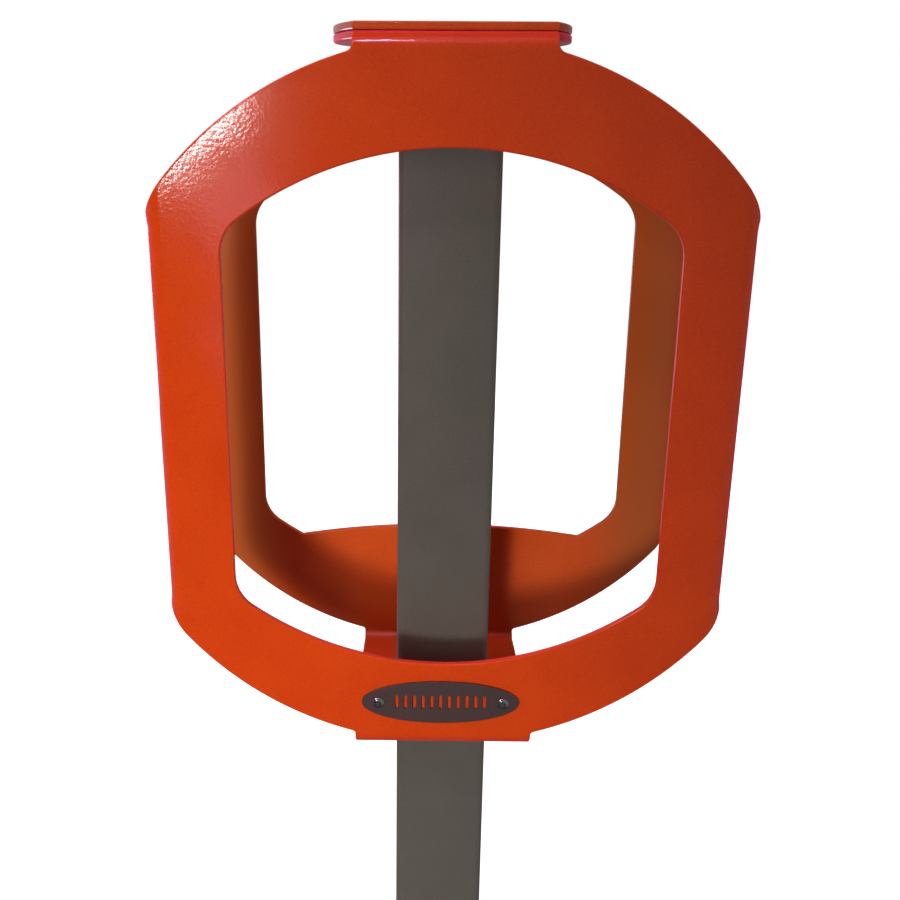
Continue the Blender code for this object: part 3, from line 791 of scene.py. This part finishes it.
def dress_post(grey):
    inner_size = POST_SIZE - 2 * POST_WALL
    outside = rounded_rectangle(POST_SIZE, POST_SIZE, POST_CORNER)
    inside = rounded_rectangle(inner_size, inner_size, 2 * TOUCH)
    tube = rounded_slab(outside, [inside], POST_TOP - POST_FOOT, TUBE_ROUNDING, POST_FOOT)

    bolt_hole = BOLT_DIAMETER + 2 * BOLT_CLEARANCE
    top_places = four_places(TOP_BOLT_SPACING, TOP_BOLT_SPACING)
    cap_outline = rounded_rectangle(CAP_SIZE, CAP_SIZE, PLATE_CORNER)
    cap_holes = [circle(place, bolt_hole) for place in top_places.values()]
    cap = rounded_slab(cap_outline, cap_holes, CAP_THICKNESS, PLATE_ROUNDING, POST_TOP + TOUCH)

    opening = POST_SIZE + 2 * TOUCH
    bottom_places = four_places(BOTTOM_BOLT_SPACING_X, BOTTOM_BOLT_SPACING_Y)
    collar_holes = [circle(place, bolt_hole) for place in bottom_places.values()]
    collar_holes.append(rounded_rectangle(opening, opening, POST_CORNER + TOUCH))
    collar_outline = rounded_rectangle(COLLAR_LENGTH, COLLAR_DEPTH, PLATE_CORNER)
    collar_bottom = COLLAR_TOP - COLLAR_THICKNESS
    collar = rounded_slab(collar_outline, collar_holes, COLLAR_THICKNESS, PLATE_ROUNDING,
                          collar_bottom)

    reach = BASE_SIZE / 2 - ANCHOR_INSET
    base_outline = rounded_rectangle(BASE_SIZE, BASE_SIZE, BASE_CORNER)
    base_holes = [circle((x * reach, y * reach), ANCHOR_HOLE) for x in (-1, 1) for y in (-1, 1)]
    base_holes.append(circle((0, 0), DRAIN_HOLE))
    base = rounded_slab(base_outline, base_holes, BASE_THICKNESS, HEAVY_ROUNDING)

    pieces = {
        "post_tube": tube,
        "post_cap_plate": cap,
        "post_cap_weld": weld_bead(CAP_SIZE, PLATE_CORNER, CAP_WELD_LEG, POST_TOP, True),
        "collar_plate": collar,
        "collar_weld": weld_bead(POST_SIZE, POST_CORNER, COLLAR_WELD_LEG, collar_bottom, False),
        "base_plate": base,
        "base_weld": weld_bead(POST_SIZE, POST_CORNER, BASE_WELD_LEG, BASE_THICKNESS, True),
    }
    for node, builder in pieces.items():
        dress(node, to_mesh(node, builder), grey)


# Fasteners

def dress_copies(prefix, builder, look, places, level, base=None):
    """The same mesh at each place; base takes the places into the rack's frame."""
    mesh = to_mesh(prefix, builder)
    base = base or Matrix.Identity(4)
    for name, (x, y) in places.items():
        matrix = base @ Matrix.Translation((x, y, level))
        dress(f"{prefix}_{name}", mesh, look, matrix.translation, matrix.to_3x3().to_4x4())


def dress_bolts(steel, zinc):
    top_places = four_places(TOP_BOLT_SPACING, TOP_BOLT_SPACING)
    seat = RACK_HEIGHT + TOUCH
    nut_bottom = POST_TOP - NUT_HEIGHT
    bolt = socket_screw(TOP_BOLT_HEAD, TOP_BOLT_HEAD_HEIGHT, BOLT_DIAMETER,
                        seat - nut_bottom + BOLT_END, BOLT_SOCKET, BOLT_PIN)
    weld_nut = chamfered_nut(NUT_FLATS, BOLT_DIAMETER + 2 * TOUCH, NUT_HEIGHT)
    dress_copies("top_bolt", bolt, steel, top_places, seat)
    dress_copies("top_weld_nut", weld_nut, zinc, top_places, nut_bottom)

    places = four_places(BOTTOM_BOLT_SPACING_X, BOTTOM_BOLT_SPACING_Y)
    seat = RING_BOTTOM + SHEET + TOUCH
    washer_bottom = COLLAR_TOP - COLLAR_THICKNESS - TOUCH - WASHER_THICKNESS
    nut_bottom = washer_bottom - TOUCH - NUT_HEIGHT
    bore = BOLT_DIAMETER + 2 * TOUCH
    bolt = socket_screw(BOTTOM_BOLT_HEAD, BOTTOM_BOLT_HEAD_HEIGHT, BOLT_DIAMETER,
                        seat - nut_bottom + BOLT_END, BOLT_SOCKET, BOLT_PIN)
    washer = flat_washer(bore, WASHER_DIAMETER, WASHER_THICKNESS)
    nut = chamfered_nut(NUT_FLATS, bore, NUT_HEIGHT)
    dress_copies("bottom_bolt", bolt, steel, places, seat)
    dress_copies("bottom_washer", washer, steel, places, washer_bottom)
    dress_copies("bottom_nut", nut, steel, places, nut_bottom)


def dress_badge(brown, steel):
    """The badge is bare but for a row of equal slots, through which the ring shows."""
    base = Matrix.Translation((BADGE_SHIFT, -FACE_Y, RING_MIDDLE + BADGE_Z))
    base = base @ Matrix.Rotation(math.pi / 2, 4, "X")
    bore = BADGE_SCREW_DIAMETER + 2 * TOUCH
    holes = [circle((x, 0), bore) for x in badge_screw_places()]
    first = -(BADGE_SLOTS - 1) / 2
    holes += [slot_outline((first + i) * SLOT_PITCH, SLOT_WIDTH, SLOT_HEIGHT)
              for i in range(BADGE_SLOTS)]
    plate = rounded_slab(ellipse(BADGE_WIDTH, BADGE_HEIGHT), holes, BADGE_THICKNESS,
                         BADGE_ROUNDING, TOUCH)
    dress("badge_plate", to_mesh("badge_plate", plate), brown,
          base.translation, base.to_3x3().to_4x4())

    left, right = badge_screw_places()
    places = {"left": (left, 0), "right": (right, 0)}
    seat = TOUCH + BADGE_THICKNESS + TOUCH
    washer_bottom = -SHEET - TOUCH - BADGE_WASHER_THICKNESS
    nut_bottom = washer_bottom - TOUCH - BADGE_NUT_HEIGHT
    screw = socket_screw(BADGE_SCREW_HEAD, BADGE_SCREW_HEAD_HEIGHT, BADGE_SCREW_DIAMETER,
                         seat - nut_bottom + BADGE_SCREW_END, BADGE_SOCKET, BADGE_PIN)
    washer = flat_washer(bore, BADGE_WASHER_DIAMETER, BADGE_WASHER_THICKNESS)
    nut = chamfered_nut(BADGE_NUT_FLATS, bore, BADGE_NUT_HEIGHT)
    dress_copies("badge_screw", screw, steel, places, seat, base)
    dress_copies("badge_washer", washer, steel, places, washer_bottom, base)
    dress_copies("badge_nut", nut, steel, places, nut_bottom, base)


# Studio

CAMERA_PLACE = (-0.02097, -0.73982, 0.19476)   # from the middle of the ring
CAMERA_PITCH = 18.986                          # degrees down
CAMERA_YAW = 0.488                             # to the left
CAMERA_ROLL = 0.328                            # anticlockwise
FOCAL_PIXELS = 1129.4
IMAGE_PIXELS = 900
SENSOR = 36                                    # millimetres
CAMERA_SHIFT = (0.0504, 0.0292)
CAMERA_REACH = 100

# Azimuths are in degrees from the front, to the left as the badge is read. Distances are from
# the middle of the ring.

# Beams light the ring and the post: name, azimuth, elevation, width, watts, aim, spread
BEAM_DISTANCE = 3.0
LEFT_BAND = (-0.36, 0, -0.15)
LOWER_POST = (0.0, 0, -0.50)
BEAMS = [
    ("key", 13.2, 3.2, 0.26, 95, LEFT_BAND, 30),
    ("key_edge", 13.7, 3.2, 0.60, 140, LEFT_BAND, 30),
    ("second", 15.5, 16.0, 0.55, 58, LEFT_BAND, 30),
    ("high", 24.0, 44.0, 0.30, 44, LEFT_BAND, 30),
    ("low", 11.0, 4.5, 0.40, 145, LOWER_POST, 13),
]

WHITE = (1.0, 1.0, 1.0)
ROSE = (1.0, 0.32, 0.68)
PINK = (1.0, 0.62, 0.85)
PALE_PINK = (1.0, 0.50, 0.90)

# Fills reach the shaded sides, and aren't seen in the gloss: name, azimuth, elevation,
# distance, size, watts, colour
FILLS = [
    ("top_fill", 79.0, 60.0, 2.0, 1.0, 21.0, ROSE),
    ("low_fill", 0.0, -22.0, 1.2, 0.3, 0.2, WHITE),
    ("back_fill", 188.0, 22.0, 3.0, 1.2, 50.0, WHITE),
    ("right_fill", -98.0, 25.0, 3.0, 1.2, 24.0, WHITE),
]

# Shines are seen in the gloss alone: name, azimuth, elevation, width, height, roll, watts,
# colour
SHINE_DISTANCE = 2.6
SHINES = [
    ("key_shine", 14.3, 1.9, 0.32, 0.06, 35, 3.8, WHITE),
    ("panel_shine", 9.35, -5.25, 0.22, 0.50, 35, 0.6, PINK),
    ("low_panel", 10.0, -11.5, 0.22, 0.36, 35, 0.16, PALE_PINK),
    ("high_shine", 4.9, 57.0, 0.13, 0.06, 0, 3.5, PINK),
    ("sky_shine", 20.0, 62.0, 1.6, 1.6, 0, 6.0, ROSE),
    ("left_shine", 50.0, 40.0, 0.8, 0.6, 0, 18.0, PINK),
    ("rim_shine", 140.0, -8.0, 0.9, 0.6, 0, 12.0, PINK),
]


def add_camera():
    """The photograph's camera."""
    pitch = math.radians(CAMERA_PITCH)
    turn = Matrix.Rotation(math.radians(CAMERA_YAW), 3, "Z")
    ahead = turn @ Vector((0, math.cos(pitch), -math.sin(pitch)))
    above = turn @ Vector((0, math.sin(pitch), math.cos(pitch)))
    aside = turn @ Vector((1, 0, 0))
    roll = math.radians(CAMERA_ROLL)
    right = math.cos(roll) * aside + math.sin(roll) * above
    up = math.cos(roll) * above - math.sin(roll) * aside
    lens = bpy.data.cameras.new("camera")
    lens.sensor_width = SENSOR
    lens.lens = FOCAL_PIXELS * SENSOR / IMAGE_PIXELS
    lens.shift_x, lens.shift_y = CAMERA_SHIFT
    lens.clip_end = CAMERA_REACH
    camera = bpy.data.objects.new("camera", lens)
    matrix = Matrix((right, up, -ahead)).transposed().to_4x4()
    matrix.translation = Vector(CAMERA_PLACE) + Vector((0, 0, RING_MIDDLE))
    camera.matrix_world = matrix
    bpy.context.scene.collection.objects.link(camera)
    bpy.context.scene.camera = camera


def towards(azimuth, elevation):
    """Direction from the middle of the ring."""
    azimuth, elevation = math.radians(azimuth), math.radians(elevation)
    return Vector((-math.sin(azimuth) * math.cos(elevation),
                   -math.cos(azimuth) * math.cos(elevation), math.sin(elevation)))


def add_lamp(lamp, place, aim, watts, colour=WHITE):
    """Place a lamp, given from the middle of the ring, and point it at its aim."""
    lamp.energy = watts
    lamp.color = colour
    made = bpy.data.objects.new(lamp.name, lamp)
    made.location = place + Vector((0, 0, RING_MIDDLE))
    made.rotation_euler = (place - Vector(aim)).to_track_quat("Z", "Y").to_euler()
    made.visible_camera = False
    bpy.context.scene.collection.objects.link(made)
    return made


def add_beam(name, azimuth, elevation, width, watts, aim, spread_angle):
    lamp = bpy.data.lights.new(name, "SPOT")
    lamp.shadow_soft_size = width / 2
    lamp.spot_size = math.radians(spread_angle)
    lamp.spot_blend = 1
    made = add_lamp(lamp, towards(azimuth, elevation) * BEAM_DISTANCE, aim, watts)
    made.visible_glossy = False


def add_fill(name, azimuth, elevation, distance, size, watts, colour):
    lamp = bpy.data.lights.new(name, "AREA")
    lamp.shape = "DISK"
    lamp.size = size
    made = add_lamp(lamp, towards(azimuth, elevation) * distance, (0, 0, 0), watts, colour)
    made.visible_glossy = False


def add_shine(name, azimuth, elevation, width, height, roll, watts, colour):
    lamp = bpy.data.lights.new(name, "AREA")
    lamp.shape = "RECTANGLE"
    lamp.size = width
    lamp.size_y = height
    made = add_lamp(lamp, towards(azimuth, elevation) * SHINE_DISTANCE, (0, 0, 0), watts, colour)
    made.rotation_euler.rotate_axis("Z", math.radians(roll))
    made.visible_diffuse = False


# The white's share in gloss rises towards these: direction, the cosines of the angle to it at
# which the rise starts and ends, the share at its end
PALE_SIDES = [
    ((-0.64, 0.77, 0.0), (0.2, 1.0), 0.40),
    ((0.80, -0.50, 0.35), (0.2, 0.7), 0.16),
]
AMBIENT = 0.045         # the white's strength as a light


def seen_white(tree):
    """All of the white, for a ray from the camera or through a clear piece."""
    path = tree.nodes.new("ShaderNodeLightPath")
    return combined(tree, "MAXIMUM", path.outputs["Is Camera Ray"],
                    path.outputs["Is Transmission Ray"])


def seen_in_gloss(tree, direction):
    """The share of the white that a ray from a glossy surface sees."""
    shares = []
    for side, reach, most in PALE_SIDES:
        facing = tree.nodes.new("ShaderNodeVectorMath")
        facing.operation = "DOT_PRODUCT"
        facing.inputs[1].default_value = side
        tree.links.new(direction, facing.inputs[0])
        share = tree.nodes.new("ShaderNodeMapRange")
        share.interpolation_type = "SMOOTHSTEP"
        share.inputs["From Min"].default_value, share.inputs["From Max"].default_value = reach
        share.inputs["To Max"].default_value = most
        tree.links.new(facing.outputs["Value"], share.inputs["Value"])
        shares.append(share.outputs["Result"])
    path = tree.nodes.new("ShaderNodeLightPath")
    total = combined(tree, "ADD", *shares)
    return combined(tree, "MULTIPLY", total, path.outputs["Is Glossy Ray"])


def add_world():
    """White to the camera, partly white in gloss, and a faint even light."""
    world = bpy.data.worlds.new("studio")
    world.use_nodes = True
    tree = world.node_tree
    back = tree.nodes["Background"]
    back.inputs["Color"].default_value = (1, 1, 1, 1)
    direction = tree.nodes.new("ShaderNodeTexCoord").outputs["Generated"]
    strength = tree.nodes.new("ShaderNodeMapRange")
    strength.inputs["To Min"].default_value = AMBIENT
    strength.inputs["To Max"].default_value = 1.0
    seen = combined(tree, "MAXIMUM", seen_white(tree), seen_in_gloss(tree, direction))
    tree.links.new(seen, strength.inputs["Value"])
    tree.links.new(strength.outputs["Result"], back.inputs["Strength"])
    bpy.context.scene.world = world


FLOOR_SIZE = 60
FLOOR_COLOUR = (0.45, 0.48, 0.45)
FLOOR_ROUGHNESS = 0.9
FLOOR_LIFT = 0.72       # what the camera sees near the foot without any light
SHADOW_REACH = (0.20, 0.42)  # from the post, where the floor turns plain white


def add_floor():
    """A white floor that shows the foot's shadow, and is plain white further off."""
    made, tree, shader = shader_setup("floor", FLOOR_ROUGHNESS, level=0.0)
    shader.inputs["Base Color"].default_value = (*FLOOR_COLOUR, 1)
    distance = tree.nodes.new("ShaderNodeVectorMath")
    distance.operation = "LENGTH"
    tree.links.new(place_coordinates(tree), distance.inputs[0])
    lift = tree.nodes.new("ShaderNodeMapRange")
    lift.interpolation_type = "SMOOTHSTEP"
    lift.inputs["From Min"].default_value, lift.inputs["From Max"].default_value = SHADOW_REACH
    lift.inputs["To Min"].default_value = FLOOR_LIFT
    lift.inputs["To Max"].default_value = 1
    tree.links.new(distance.outputs["Value"], lift.inputs["Value"])
    glow = tree.nodes.new("ShaderNodeEmission")
    tree.links.new(combined(tree, "MULTIPLY", seen_white(tree), lift.outputs["Result"]),
                   glow.inputs["Strength"])
    both = tree.nodes.new("ShaderNodeAddShader")
    tree.links.new(shader.outputs[0], both.inputs[0])
    tree.links.new(glow.outputs[0], both.inputs[1])
    output = tree.nodes["Material Output"]
    tree.links.new(both.outputs[0], output.inputs["Surface"])
    builder = bmesh.new()
    bmesh.ops.create_grid(builder, x_segments=1, y_segments=1, size=FLOOR_SIZE / 2)
    mesh = bpy.data.meshes.new("floor")
    builder.to_mesh(mesh)
    builder.free()
    mesh.materials.append(made)
    floor = bpy.data.objects.new("floor", mesh)
    floor.location.z = -TOUCH
    floor.visible_glossy = False
    bpy.context.scene.collection.objects.link(floor)


red = powder_coat("red_coat", (0.585, 0.046, 0.003), (0.665, 0.060, 0.004), roughness=0.09,
                  peel_size=0.0021, peel_height=0.000033, level=0.5, sheen=1.0)
# The rear plate's coat is a darker, browner copy of the red coat: painted shade and reflection.
# Towards its side strips it turns darker and browner still, also painted shade and reflection.
rear_shaded_red = powder_coat("rear_shaded_red_coat", (0.53, 0.068, 0.010), (0.61, 0.084, 0.015),
                       roughness=0.14, peel_size=0.0017, peel_height=0.00005, level=0.4,
                       sides=(0.44, 0.092, 0.020))
grey = powder_coat("grey_coat", (0.088, 0.079, 0.065), (0.106, 0.095, 0.079), roughness=0.36,
                   peel_size=0.0016, peel_height=0.00005, level=0.4)
steel = bare_metal("steel", (0.60, 0.59, 0.57), (0.52, 0.51, 0.50), roughness=0.16,
                   scratch_size=0.0012)
zinc = bare_metal("zinc", (0.44, 0.45, 0.47), (0.36, 0.37, 0.38), roughness=0.42,
                  scratch_size=0.0018)
brown = anodised("badge_coat", (0.092, 0.056, 0.054), (0.080, 0.048, 0.046), roughness=0.42)

bpy.context.scene.view_settings.view_transform = "Standard"
dress_ring(red, rear_shaded_red)
dress_post(grey)
dress_bolts(steel, zinc)
dress_badge(brown, steel)
add_camera()
for beam in BEAMS:
    add_beam(*beam)
for fill in FILLS:
    add_fill(*fill)
for shine in SHINES:
    add_shine(*shine)
add_world()
add_floor()
